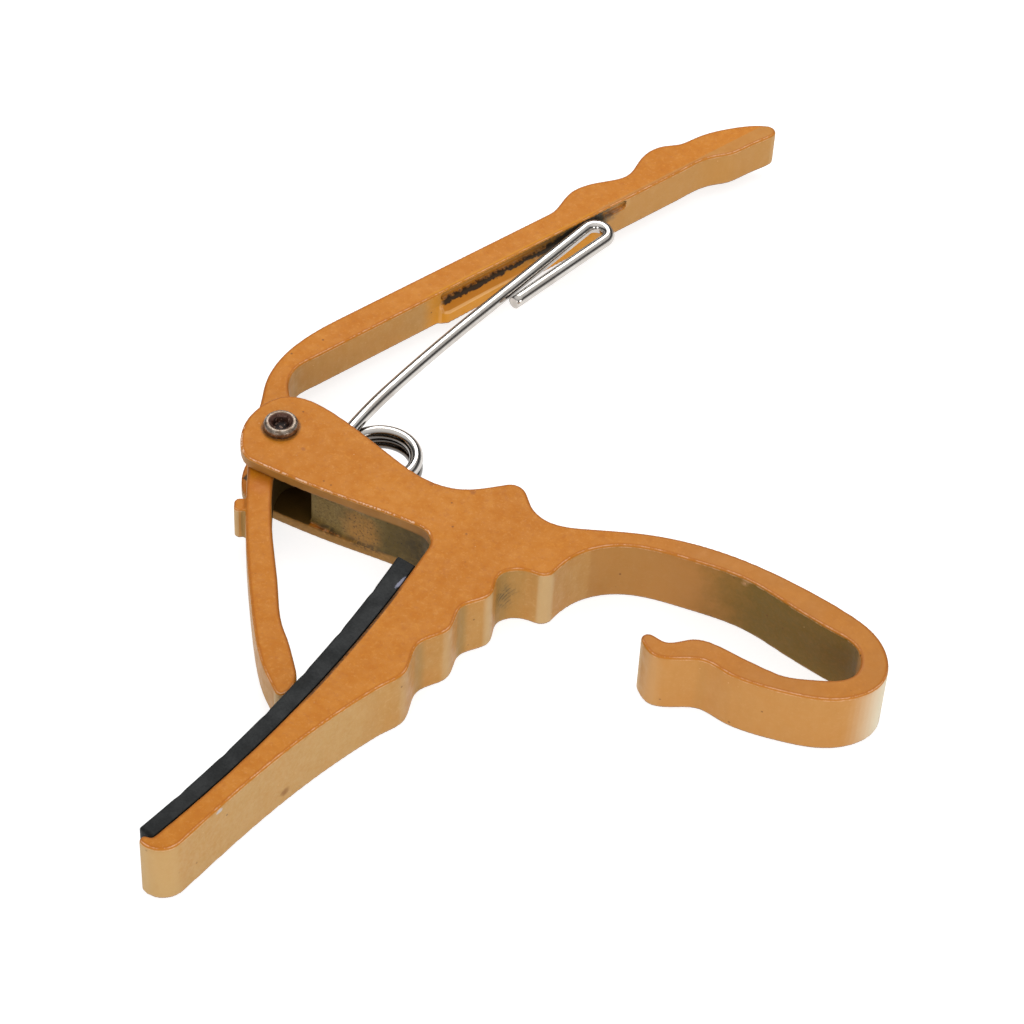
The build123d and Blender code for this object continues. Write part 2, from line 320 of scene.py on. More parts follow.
# ---- materials ------------------------------------------------------------------
SEAT_RADIUS = 215.4  # the curve of the string bar under its pad, millimetres
SEAT = (-183.1, -42.0)
COIL = (11.6, 6.7)  # the axis of the spring's coil
CASTING_TOP = 10.0
BLACK = (0.016, 0.014, 0.010)
OLIVE = (0.172, 0.116, 0.030)
BARE = (0.52, 0.47, 0.44)
PALE_WEAR_AND_HIGHLIGHT = (0.82, 0.46, 0.25)  # pale enamel: rubbed thin on an edge, and the painted highlight along the edges facing the front
LIT_FRONT = (0.54, -0.84, 0.0)  # the sides facing the viewer and the front lamps, where edge highlights are painted
# the direction whose upright faces on the tail are painted with a pale sheen
SHEEN_RIGHT = (0.84, 0.54, 0.0)
LEVEL = (1.0, 1.0, 0.0)  # leaves height out of a distance


class Grain:
    """The noises that the layers of one enamel share, from broad to fine."""

    def __init__(self, n):
        self.broad = n.noise(14.0, 3.0)
        self.patch = n.noise(5.0, 4.0, 0.6)
        self.mottle = n.noise(1.5, 4.0, 0.62)
        self.fine = n.noise(0.45, 3.0, 0.6)
        self.streak = n.noise(1.7, 4.0, 0.6, n.stretched(1.0, 1.0, 0.30))


def face_colour(n, grain):
    """Flat faces: ochre with redder and yellower mottling."""
    speck = n.noise(0.8, 3.0, 0.7)
    face = n.mix(n.band(grain.broad, 0.35, 0.68), (0.565, 0.186, 0.008), (0.615, 0.214, 0.014))
    face = n.mix(n.band(grain.patch, 0.50, 0.75, 0.0, 0.16), face, (0.545, 0.165, 0.016))
    face = n.mix(n.band(grain.mottle, 0.47, 0.72, 0.0, 0.36), face, (0.53, 0.155, 0.018))
    face = n.mix(n.band(grain.mottle, 0.46, 0.28, 0.0, 0.38), face, (0.66, 0.250, 0.010))
    face = n.mix(n.band(grain.fine, 0.54, 0.70, 0.0, 0.40), face, (0.70, 0.290, 0.055))
    face = n.mix(n.band(speck, 0.54, 0.68, 0.0, 0.42), face, (0.48, 0.148, 0.014))
    return n.mix(n.band(speck, 0.45, 0.30, 0.0, 0.42), face, (0.70, 0.260, 0.024))


def flank_colour(n, grain):
    """Flanks: a paler tan than the tops, painted as the sheen the upright faces catch; painted highlight
    on the crests, painted shade in the valleys.
    """
    side = n.mix(n.band(grain.streak, 0.25, 0.75), (0.465, 0.230, 0.056), (0.500, 0.262, 0.074))
    side = n.mix(n.band(grain.patch, 0.45, 0.72, 0.0, 0.28), side, (0.490, 0.205, 0.036))
    side = n.mix(n.band(grain.mottle, 0.52, 0.75, 0.0, 0.28), side, (0.390, 0.180, 0.040))
    side = n.mix(n.band(grain.mottle, 0.46, 0.30, 0.0, 0.22), side, (0.570, 0.340, 0.120))
    side = n.mix(n.band(grain.fine, 0.52, 0.72, 0.0, 0.30), side, (0.600, 0.370, 0.140))
    side = n.mix(n.band(grain.broad, 0.40, 0.58, 0.35, 0.0), side, (0.500, 0.205, 0.030))
    # painted highlight on the crests and painted shade in the valleys, by how sharply the flank bends
    uneven = n.math("MULTIPLY", n.math("SUBTRACT", grain.streak, 0.5), 0.06)
    bend = n.math("ADD", n.kept("bend"), uneven)
    side = n.mix(n.band(bend, 0.14, 0.44, 0.0, 0.58), side, (0.590, 0.425, 0.220))
    return n.mix(n.band(bend, -0.14, -0.38, 0.0, 0.62), side, (0.300, 0.185, 0.050))


def with_edge_wear_and_highlights(n, colour, grain):
    """Upper edges: two thin pale lines, broken up like wear, painted as highlights on the edges facing the
    front; the edges facing away painted brown-red as shade. Lower edges: painted shade in brown.
    """
    surface = n.surface()
    level = n.math("ABSOLUTE", n.part_of(surface, "Z"))
    front = n.along(surface, LIT_FRONT)
    rim = n.all_of(n.band(level, 0.22, 0.45), n.band(level, 0.90, 0.985, 1.0, 0.0))
    inner_rim = n.all_of(n.band(level, 0.82, 0.94), n.band(level, 0.990, 0.9990, 1.0, 0.0))
    colour = n.mix(n.math("MULTIPLY", inner_rim, 0.40), colour, (0.43, 0.115, 0.018))
    # painted shade: the rims facing away from the front turn brown-red
    behind = n.all_of(rim, n.band(front, -0.05, 0.25, 0.62, 0.0))
    colour = n.mix(behind, colour, (0.30, 0.095, 0.018))
    between = n.all_of(rim, n.band(front, 0.0, 0.30, 0.0, 0.7))
    colour = n.mix(between, colour, (0.56, 0.190, 0.022))
    # painted highlights: two pale lines on the rims facing the front, broken up like wear
    wear_and_highlight = n.math("MULTIPLY", n.band(n.noise(1.6, 4.0, 0.75), 0.38, 0.60), n.band(front, 0.0, 0.30))
    upper_line = n.within(level, 0.80, 0.93, 0.05)
    lower_line = n.within(level, 0.16, 0.30, 0.06)
    colour = n.mix(n.all_of(wear_and_highlight, upper_line, n.band(grain.fine, 0.3, 0.6, 0.35, 0.85)), colour, PALE_WEAR_AND_HIGHLIGHT)
    colour = n.mix(n.all_of(wear_and_highlight, lower_line, n.band(grain.fine, 0.3, 0.6, 0.20, 0.5)), colour, PALE_WEAR_AND_HIGHLIGHT)
    # painted shade along the lower edges
    lowest = n.band(n.part_of(surface, "Z"), -0.10, -0.32)
    return n.mix(n.math("MULTIPLY", lowest, 0.92), colour, (0.180, 0.095, 0.030))


def pinholes(n, grain):
    """Where small dark pinholes lie."""
    holes = n.band(n.cells(3.1), 0.030, 0.075, 1.0, 0.0)
    return n.math("MULTIPLY", holes, n.band(grain.broad, 0.42, 0.52))


def openness_of_casting(n, grain):
    """How open the casting is, unevenly: 0 in the deep corners, where shade is painted."""
    ragged = n.math("MULTIPLY", n.math("SUBTRACT", grain.mottle, 0.5), 0.30)
    return n.math("ADD", n.openness(0.009), ragged)


def with_painted_shade(n, colour, grain, hidden):
    """Painted shade in the slot, under the web and in the corners: darker where the casting is hemmed in,
    darker still deep in the slot.
    """
    colour = n.mix(n.band(hidden, 0.28, 0.66, 0.85, 0.0), colour, (0.110, 0.068, 0.016))
    colour = n.mix(n.band(hidden, 0.10, 0.40, 0.92, 0.0), colour, (0.014, 0.013, 0.007))
    surface = n.surface()
    level = n.math("ABSOLUTE", n.part_of(surface, "Z"))
    slot = n.inside_box(at(-3.0, -4.6, 1.75), at(22.0, 12.0, 8.25), 0.0003)
    mouth = n.inside_box(at(0.3, -10.5, 1.50), at(9.35, -4.2, 7.50), 0.0003)
    inward = n.math("MAXIMUM", n.band(n.part_of(surface, "X"), 0.05, 0.35), n.band(level, 0.5, 0.8))
    slot = n.math("MULTIPLY", n.math("MAXIMUM", slot, mouth), inward)
    deep = n.band(n.part_of(n.place, "Z"), 0.0015, 0.0045)
    # painted shade inside the slot, darker towards its floor
    slot_shade = n.mix(deep, (0.062, 0.040, 0.010), (0.022, 0.018, 0.007))
    return n.mix(n.math("MULTIPLY", slot, n.band(grain.broad, 0.3, 0.7, 0.90, 0.97)), colour, slot_shade)


def enamel(name, zones, marks):
    """Ochre-orange enamel with wear over a casting: pale edge lines, part wear and part painted highlight,
    flanks painted a paler tan as sheen, painted shade in the hollows.
    """
    n = Nodes(name)
    grain = Grain(n)
    flank = n.band(n.math("ABSOLUTE", n.part_of(n.surface(), "Z")), 0.20, 0.70, 1.0, 0.0)
    colour = n.mix(flank, face_colour(n, grain), flank_colour(n, grain))
    for tint, zone in zones(n):
        colour = n.mix(zone, colour, tint)
    colour = with_edge_wear_and_highlights(n, colour, grain)
    pins = pinholes(n, grain)
    colour = n.mix(n.math("MULTIPLY", pins, 0.7), colour, (0.13, 0.045, 0.014))
    pale = n.math("MULTIPLY", n.band(n.cells(1.9), 0.02, 0.07, 1.0, 0.0), n.band(grain.mottle, 0.50, 0.58))
    colour = n.mix(n.math("MULTIPLY", pale, 0.50), colour, (0.85, 0.52, 0.24))
    hidden = openness_of_casting(n, grain)
    colour = with_painted_shade(n, colour, grain, hidden)
    for tint, mark in marks(n):
        colour = n.mix(mark, colour, tint)
    under = n.bump(n.noise(1.3, 2.0, 0.5), 0.00010, 0.35)
    under = n.bump(grain.fine, 0.00003, 0.5, under)
    n.set(
        Base_Color=colour,
        Roughness=n.band(grain.mottle, 0.3, 0.75, 0.38, 0.54),
        Specular_IOR_Level=n.band(hidden, 0.30, 0.80, 0.03, 0.14),
        Normal=n.bump(pins, 0.00020, -0.6, under),
    )
    return n.material


def frame_zones(n):
    """The broad differences of tone along the frame's flanks and on the tail, some of them painted light:
    the tail's flanks facing the front are painted a deeper orange, those turned to the right a pale sheen,
    and the wall inside the curl is painted darker as shade.
    """
    flat = n.band(n.math("ABSOLUTE", n.part_of(n.surface(), "Z")), 0.30, 0.70)
    upright = n.math("SUBTRACT", 1.0, flat)
    east = n.part_of(n.place, "X")
    north = n.part_of(n.place, "Y")
    tail = n.band(east, at(44.0, 0).x, at(62.0, 0).x)
    yield (0.500, 0.205, 0.045), n.all_of(flat, tail, n.band(n.noise(6.0, 4.0), 0.3, 0.6, 0.35, 0.65))
    fine = n.noise(0.6, 4.0, 0.65)
    bar = n.all_of(upright, n.band(north, at(0, -27.0).y, at(0, -35.0).y))
    yield (0.530, 0.325, 0.120), n.math("MULTIPLY", bar, n.band(fine, 0.3, 0.7, 0.35, 0.75))
    # painted light: the tail's flanks facing the front are painted a deeper orange
    hook = n.all_of(upright, n.band(n.along(n.surface(), LIT_FRONT), 0.30, 0.80), tail)
    yield (0.570, 0.245, 0.058), n.math("MULTIPLY", hook, 0.55)
    # painted sheen: the tail's flanks turned to the right are painted pale
    bright = n.all_of(upright, tail, n.band(n.along(n.surface(), SHEEN_RIGHT), 0.22, 0.96, 0.0, 0.85))
    yield (0.760, 0.680, 0.500), bright
    # painted shade: the wall inside the curl is painted darker, orange-brown turning to olive
    inside = n.inside_box(at(30.0, 7.4, 0.0), at(84.2, 19.0, 9.75), 0.0008)
    inner = n.all_of(upright, inside, n.band(n.along(n.surface(), (-0.35, -0.94, 0.0)), -0.25, 0.25))
    yield (0.400, 0.175, 0.036), n.math("MULTIPLY", inner, 0.6)
    uneven = n.math("MULTIPLY", n.math("SUBTRACT", n.noise(5.0, 4.0, 0.65), 0.5), 0.010)
    ramp = n.band(n.math("ADD", east, uneven), at(57.0, 0).x, at(68.0, 0).x)
    yield (0.160, 0.102, 0.008), n.all_of(inner, ramp, n.band(fine, 0.3, 0.7, 0.80, 0.96))
    yield (0.235, 0.150, 0.036), n.all_of(inner, ramp, n.band(fine, 0.50, 0.70, 0.0, 0.35))


def upright_of(n):
    """1 on upright faces, 0 on level ones."""
    return n.band(n.math("ABSOLUTE", n.part_of(n.surface(), "Z")), 0.30, 0.60, 1.0, 0.0)


def web_marks(n):
    """The web's recessed outer face, its lip and its foot: bare olive casting and stains, painted shade in
    the corner by the bar, and dark broken lines along the web's foot that are painted shade and dirt.
    """
    ragged = n.noise(0.7, 4.0, 0.7)
    grain = n.noise(0.35, 3.0, 0.65)
    blotch = n.noise(3.6, 4.0, 0.62)
    broken = n.band(ragged, 0.40, 0.56)
    upright = upright_of(n)
    outward = n.band(n.along(n.surface(), (0.0, -1.0, 0.0)), 0.30, 0.65)
    # the recessed face: olive, orange-brown in the middle, dark at the right
    field = n.math("MULTIPLY", outward, n.inside_box(at(9.4, -9.5, 1.9), at(28.0, -2.5, 8.2), 0.0003))
    east = n.part_of(n.place, "X")
    yield OLIVE, n.math("MULTIPLY", field, 0.93)
    yield (0.275, 0.190, 0.062), n.all_of(field, n.band(grain, 0.48, 0.66, 0.0, 0.65))
    yield (0.085, 0.056, 0.012), n.all_of(field, n.band(blotch, 0.50, 0.68, 0.0, 0.55))
    middle = n.spot(at(17.4, -4.4, 4.2), 0.0038, (0.9, 1.0, 0.8), 0.8, 1.0)
    yield (0.420, 0.185, 0.030), n.all_of(field, middle, n.band(grain, 0.3, 0.6, 0.3, 0.8))
    right_end = n.band(east, at(18.5, 0).x, at(22.0, 0).x)
    yield (0.100, 0.062, 0.006), n.all_of(field, right_end, n.band(ragged, 0.30, 0.60, 0.45, 0.85))
    yield (0.016, 0.014, 0.009), n.all_of(field, n.band(grain, 0.42, 0.30, 0.0, 0.75))
    lip = n.math("MULTIPLY", outward, n.inside_box(at(-4.0, -9.5, 8.25), at(28.0, -2.0, 9.62), 0.0001))
    yield (0.330, 0.140, 0.026), n.math("MULTIPLY", lip, n.band(blotch, 0.35, 0.6, 0.60, 0.85))
    foot = n.math("MULTIPLY", outward, n.inside_box(at(-4.0, -9.5, 0.0), at(28.0, -2.0, 1.85), 0.0002))
    yield (0.280, 0.138, 0.028), n.math("MULTIPLY", foot, n.band(ragged, 0.35, 0.6, 0.55, 0.90))
    # painted shade: near-black in the corner where the web meets the bar
    corner = n.spot(at(26.0, -5.0, 4.5), 0.0042, (1.0, 1.5, 0.8), 0.6, 0.9)
    yield (0.026, 0.022, 0.014), n.all_of(corner, upright, n.band(ragged, 0.35, 0.6, 0.10, 0.6))
    # dark broken lines where the web meets the lower ear: painted shade and dirt
    for x, y, reach in ((12.5, -5.4, 0.0024), (18.0, -4.8, 0.0034), (21.5, -4.5, 0.0015)):
        foot_shade_line = n.spot(at(x, y, 2.0), reach, (0.8, 2.6, 3.0), 0.7, 0.7)
        yield (0.045, 0.032, 0.014), n.math("MULTIPLY", foot_shade_line, n.math("MULTIPLY", broken, 0.75))


def grip_marks(n):
    """Grey scuff and slanting scratches at the root of the grip."""
    ragged = n.noise(0.7, 4.0, 0.7)
    upright = upright_of(n)
    scuff = n.spot(at(39.4, -3.4, 5.2), 0.0026, (0.9, 1.1, 0.75), 0.9, 0.8)
    yield (0.150, 0.110, 0.045), n.all_of(scuff, upright, n.band(ragged, 0.36, 0.60, 0.05, 0.55))
    slant = n.math("ADD", n.part_of(n.place, "Z"), n.math("MULTIPLY", n.part_of(n.place, "Y"), -1.1))
    strokes = n.math("FRACT", n.math("MULTIPLY", slant, 1250.0))
    strokes = n.all_of(scuff, upright, n.band(strokes, 0.55, 0.85), n.band(ragged, 0.42, 0.52))
    yield (0.045, 0.038, 0.022), n.math("MULTIPLY", strokes, 0.7)


def rim_marks(n):
    """Nicks, a chip and a stain, and the bright rim over the web, rubbed and with a painted highlight
    along its edge.
    """
    for x, y, reach in ((22.7, 4.0, 0.0007), (28.1, 6.0, 0.0006), (5.0, -1.5, 0.0005)):
        nick = n.spot(at(x, y, CASTING_TOP), reach, (1.0, 1.0, 0.6), 0.8, 1.0)
        yield (0.36, 0.110, 0.022), n.math("MULTIPLY", nick, 0.6)
    scar = n.spot(at(66.0, 15.6, 9.5), 0.0011, (1.2, 1.0, 0.8), 0.7, 1.1)
    yield PALE_WEAR_AND_HIGHLIGHT, n.all_of(scar, n.band(n.part_of(n.place, "Z"), 0.0099, 0.0095, 0.0, 0.40))
    # the rim over the web is rubbed brightest, with a painted highlight along its edge
    brow = n.inside_box(at(-4.0, -9.5, 9.62), at(28.0, -2.0, 10.05), 0.0001)
    edge = n.within(n.math("ABSOLUTE", n.part_of(n.surface(), "Z")), 0.62, 0.93, 0.05)
    yield (0.94, 0.64, 0.42), n.all_of(brow, edge, n.band(n.noise(0.8, 3.0, 0.7), 0.48, 0.57, 0.0, 0.72))
    chip = n.spot(at(34.7, -56.6, 9.3), 0.00045, (1.0, 0.7, 1.0), 0.4, 0.9)
    yield BARE, n.math("MULTIPLY", chip, 0.9)
    stain = n.spot(at(35.8, -45.0, 2.2), 0.0009, (1.0, 0.8, 1.0), 0.8, 1.0)
    yield (0.26, 0.105, 0.024), n.math("MULTIPLY", stain, 0.75)


def pad_marks(n):
    """Dark line on the upper face along the pad."""
    ragged = n.noise(0.7, 4.0, 0.7)
    past = n.math("SUBTRACT", n.away(at(*SEAT), LEVEL), SEAT_RADIUS * MM)
    line = n.all_of(
        n.within(past, -0.0003, 0.00035, 0.0002),
        n.within(n.part_of(n.place, "Y"), at(0, -34.5).y, at(0, -16.0).y, 0.004),
        n.band(n.part_of(n.place, "Z"), 0.0090, 0.0095),
    )
    yield (0.060, 0.032, 0.014), n.math("MULTIPLY", line, n.band(ragged, 0.3, 0.55, 0.35, 0.85))


def screw_marks(n):
    """A darker ring round the head of the screw: painted shade where the head stands on the ear."""
    ragged = n.noise(0.7, 4.0, 0.7)
    reach = n.spot(at(0, 0, CASTING_TOP), 0.0029, (1.0, 1.0, 0.4), 0.12, 0.12)
    yield (0.12, 0.060, 0.024), n.math("MULTIPLY", reach, n.band(ragged, 0.30, 0.60, 0.30, 0.75))


def frame_marks(n):
    """Wear, dirt, painted shade and painted highlights on the frame: each a colour and where it shows."""
    for part in (web_marks, grip_marks, rim_marks, pad_marks, screw_marks):
        yield from part(n)


HANDLE_FOOT = (-5.85, 16.0)
HANDLE_HEAD = (12.75, 80.4)


def handle_measures(n):
    """Distance along the handle's inner face and out of it, from its foot, and height: metres."""
    run = Vector(HANDLE_HEAD) - Vector(HANDLE_FOOT)
    run.normalize()
    away = n.vector("SUBTRACT", n.place, at(*HANDLE_FOOT))
    distance = n.along(away, (run.x, run.y, 0.0))
    proud = n.along(away, (run.y, -run.x, 0.0))
    return distance, proud, n.part_of(n.place, "Z")


def lever_zones(n):
    """The handle's inner face from the rail outwards keeps its deep orange."""
    distance, proud, height = handle_measures(n)
    mottle = n.noise(1.4, 4.0, 0.6)
    near = n.within(proud, -0.0006, 0.0025, 0.0002)
    deep = n.all_of(near, n.within(distance, 0.0212, 0.050, 0.003), n.within(height, 0.0, 0.0094, 0.0003))
    yield (0.640, 0.250, 0.006), n.math("MULTIPLY", deep, 0.90)
    yield (0.700, 0.300, 0.030), n.all_of(deep, n.band(mottle, 0.5, 0.7, 0.0, 0.5))
    past = n.all_of(near, n.band(distance, 0.050, 0.053), n.band(height, 0.0094, 0.0097, 1.0, 0.0))
    yield (0.500, 0.240, 0.060), n.math("MULTIPLY", past, 0.6)


def lever_marks(n):
    """Wear on the lever: a black rub mark above the rail, grime towards the hook, and painted highlights
    on the rail's edges.
    """
    distance, proud, height = handle_measures(n)
    ragged = n.noise(0.9, 5.0, 0.7)
    slow = n.noise(2.6, 4.0, 0.65)
    wobble = n.math("MULTIPLY", n.math("SUBTRACT", slow, 0.5), 0.0006)
    shifted = n.math("ADD", height, wobble)
    wall = n.all_of(n.within(proud, -0.0014, 0.00035, 0.0002), n.band(height, 0.0076, 0.0079, 1.0, 0.0))
    # brown above the rub mark, dark olive towards the hook
    above = n.within(height, 0.0058, 0.0076, 0.0003)
    above = n.all_of(wall, above, n.within(distance, 0.0225, 0.050, 0.003))
    yield (0.400, 0.160, 0.014), n.math("MULTIPLY", above, 0.55)
    ends = n.band(distance, 0.0520, 0.0540, 1.0, 0.0)
    grime = n.all_of(wall, n.within(shifted, 0.0054, 0.0078, 0.0005), n.band(distance, 0.032, 0.047))
    yield (0.090, 0.062, 0.016), n.all_of(grime, ends, n.band(ragged, 0.3, 0.6, 0.55, 0.92))
    edge = n.math("ADD", 0.00595, n.math("MULTIPLY", n.math("SUBTRACT", ragged, 0.5), 0.0007))
    thick = n.band(slow, 0.36, 0.60, 0.00016, 0.00040)
    thick = n.math("ADD", thick, n.band(distance, 0.040, 0.050, 0.0, 0.0007))
    off = n.math("ABSOLUTE", n.math("SUBTRACT", shifted, edge))
    inside = n.band(n.math("SUBTRACT", off, thick), -0.0001, 0.00012, 1.0, 0.0)
    rub = n.all_of(wall, inside, n.within(distance, 0.0226, 0.0520, 0.0010))
    yield BLACK, n.math("MULTIPLY", rub, 0.94)
    smear = n.spot(at(8.9, 66.8, 6.8), 0.0022, (0.75, 0.62, 1.0), 0.8, 1.0)
    yield (0.095, 0.088, 0.066), n.all_of(smear, wall, n.band(ragged, 0.38, 0.56, 0.1, 0.75))
    # painted highlights on the edges of the rail
    crest = n.all_of(
        n.band(proud, 0.00050, 0.00075),
        n.within(height, 0.0042, 0.0046, 0.00012),
        n.within(distance, 0.0218, 0.046, 0.001),
    )
    yield (0.84, 0.46, 0.16), n.math("MULTIPLY", crest, 0.75)
    start = n.all_of(
        n.within(proud, 0.0002, 0.0012, 0.0002),
        n.within(distance, 0.0213, 0.0217, 0.00015),
        n.within(height, 0.0020, 0.0060, 0.0003),
    )
    yield (0.84, 0.46, 0.16), n.math("MULTIPLY", start, 0.35)
    # grime on the tab and where the arm meets the ears
    tab = n.spot(at(3.4, -9.0, 8.0), 0.0022, (1.0, 1.0, 0.5), 0.8, 0.9)
    yield (0.50, 0.135, 0.020), n.math("MULTIPLY", tab, 0.45)


def spring_steel(name):
    """Bright plated spring wire, drawn lengthwise, with a little tarnish, and painted shade between its
    turns and inside the coil.
    """
    n = Nodes(name)
    tarnish = n.noise(6.0, 4.0)
    fine = n.noise(0.35, 3.0, 0.6)
    colour = n.mix(n.band(tarnish, 0.42, 0.72), (0.60, 0.57, 0.535), (0.47, 0.43, 0.39))
    colour = n.mix(n.band(fine, 0.60, 0.8, 0.0, 0.35), colour, (0.36, 0.33, 0.29))
    # painted shade where the wire is hemmed in by its own turns
    colour = n.mix(n.band(n.openness(0.004), 0.30, 0.75, 0.85, 0.0), colour, (0.10, 0.09, 0.08))
    # painted shade on the lower turns inside the coil
    within_coil = n.spot(at(COIL[0], COIL[1], 4.0), 0.0072, (1.0, 1.0, 0.3), 0.05)
    lower_turns = n.band(n.part_of(n.place, "Z"), 0.0066, 0.0056)
    coil_shade = n.math("MULTIPLY", within_coil, lower_turns)
    colour = n.mix(n.math("MULTIPLY", coil_shade, 0.85), colour, (0.12, 0.11, 0.10))
    n.set(
        Base_Color=colour,
        Metallic=1.0,
        Roughness=n.band(tarnish, 0.3, 0.8, 0.10, 0.24),
        Normal=n.bump(fine, 0.00002, 0.30),
    )
    return n.material


def washer_steel(name):
    """Turned steel, dulled."""
    n = Nodes(name)
    tarnish = n.noise(1.2, 4.0, 0.6)
    fine = n.noise(0.2, 3.0, 0.6)
    colour = n.mix(n.band(tarnish, 0.35, 0.7), (0.62, 0.60, 0.56), (0.38, 0.34, 0.29))
    n.set(
        Base_Color=colour,
        Metallic=1.0,
        Roughness=n.band(fine, 0.3, 0.7, 0.26, 0.42),
        Normal=n.bump(fine, 0.00003, 0.4),
    )
    return n.material


def screw_steel(name):
    """Dull steel with a rust-brown mouth to its socket and black grime inside."""
    n = Nodes(name)
    tarnish = n.noise(0.9, 4.0, 0.65)
    fine = n.noise(0.25, 3.0, 0.6)
    colour = n.mix(n.band(tarnish, 0.38, 0.64), (0.34, 0.29, 0.24), (0.17, 0.12, 0.085))
    colour = n.mix(n.band(fine, 0.58, 0.72, 0.0, 0.6), colour, (0.62, 0.56, 0.49))
    wobble = n.math("MULTIPLY", n.math("SUBTRACT", tarnish, 0.5), 0.0009)
    radius = n.math("ADD", n.away(PIVOT, LEVEL), wobble)
    head = n.band(n.part_of(n.place, "Z"), 0.0088, 0.0092)
    mouth = n.all_of(head, n.band(radius, 0.00155, 0.00185, 1.0, 0.0))
    colour = n.mix(n.math("MULTIPLY", mouth, 0.88), colour, (0.085, 0.026, 0.014))
    socket = n.all_of(head, n.band(radius, 0.00105, 0.00130, 1.0, 0.0))
    colour = n.mix(n.math("MULTIPLY", socket, 0.88), colour, (0.014, 0.007, 0.006))
    glint = n.all_of(mouth, n.band(n.noise(0.55, 2.0), 0.60, 0.66, 0.0, 0.8))
    colour = n.mix(glint, colour, (0.55, 0.36, 0.27))
    metal = n.band(radius, 0.00105, 0.00175, 0.15, 0.95)
    n.set(
        Base_Color=colour,
        Metallic=metal,
        Roughness=n.band(fine, 0.3, 0.7, 0.32, 0.52),
        Normal=n.bump(fine, 0.00004, 0.5),
    )
    return n.material


def rubber(name):
    """Charcoal rubber with a faint blue cast, finely grained, with pale dust and a bluish-white painted
    highlight near its upper end.
    """
    n = Nodes(name)
    fine = n.noise(0.3, 4.0, 0.6)
    dust = n.noise(3.0, 5.0, 0.6)
    colour = n.mix(n.band(fine, 0.3, 0.75), (0.007, 0.008, 0.0085), (0.016, 0.018, 0.018))
    colour = n.mix(n.band(dust, 0.55, 0.8, 0.0, 0.30), colour, (0.060, 0.055, 0.048))
    # painted highlight: a bluish-white spot on the top face near the pad's upper end
    pad_highlight = n.spot(at(30.0, -13.0, 9.8), 0.0007, (2.2, 0.50, 1.0), 0.5, 1.3)
    colour = n.mix(n.math("MULTIPLY", pad_highlight, 0.60), colour, (0.40, 0.41, 0.54))
    n.set(
        Base_Color=colour,
        Roughness=n.band(dust, 0.3, 0.8, 0.50, 0.76),
        Specular_IOR_Level=0.22,
        Normal=n.bump(fine, 0.00005, 0.5),
    )
    return n.material


def adhesive(name):
    """Yellowed contact adhesive, blotchy."""
    n = Nodes(name)
    n.set(
        Base_Color=n.mix(n.noise(1.5, 4.0), (0.060, 0.045, 0.030), (0.22, 0.17, 0.11)),
        Roughness=n.band(n.noise(0.8, 3.0), 0.3, 0.7, 0.45, 0.7),
    )
    return n.material


# ---- castings -----------------------------------------------------------------------
VOXEL = FINE_VOXEL
frame_skin = new_object("frame_skin", cast_skin("frame_casting", VOXEL), "frame", "frame_casting")
frame_skin.data.materials.append(enamel("enamel_frame", frame_zones, frame_marks))
lever_skin = new_object("lever_skin", cast_skin("lever_casting", VOXEL), "lever", "lever_casting")
lever_skin.data.materials.append(enamel("enamel_lever", lever_zones, lever_marks))

# ---- spring --------------------------------------------------------------------------
WIRE_R = 0.95
COIL_R = 5.3
COIL_PITCH = 1.92
COIL_ENTRY = 186.8
COIL_EXIT = 270.0
COIL_TURNS = 2 + (COIL_EXIT - COIL_ENTRY) / 360
LONG_LEG_Z = 7.1
LONG_LEG_BOW = (5.75, 17.5)
LONG_LEG_STRAIGHT = (6.62, 37.5)
LONG_LEG_RUN = 24.6
HOOK_R = 1.84
HOOK_TURN = 184.4
HOOK_RETURN = 19.4
SHORT_LEG = 9.0
SHORT_LEG_Z = LONG_LEG_Z - COIL_PITCH * COIL_TURNS
WIRE_SIDES = 28
WIRE_NOSE = 0.0003
SHORT_LEG_STEPS = 12
COIL_STEPS = 150
RUN_STEPS = 24
HOOK_STEPS = 28
RETURN_STEPS = 16
ARC_STEP = 0.8
CUT_END = ((0.25, 0.30), (0.02, 0.62), (0.0, 0.84), (0.0, 0.96))  # depth in noses, share of radius


def arc_to(start, heading, end, step):
    """Points on the arc that leaves start in a heading (radians) and reaches end; its last heading."""
    dx, dy = end[0] - start[0], end[1] - start[1]
    chord = math.hypot(dx, dy)
    half = math.atan2(dy, dx) - heading
    half = (half + math.pi) % (2 * math.pi) - math.pi
    count = max(2, int(chord / step))
    radius = chord / 2 / math.sin(half)
    points = []
    for i in range(1, count + 1):
        turn = 2 * half * i / count
        points.append((
            start[0] + radius * (math.sin(heading + turn) - math.sin(heading)),
            start[1] - radius * (math.cos(heading + turn) - math.cos(heading)),
        ))
    return points, heading + 2 * half


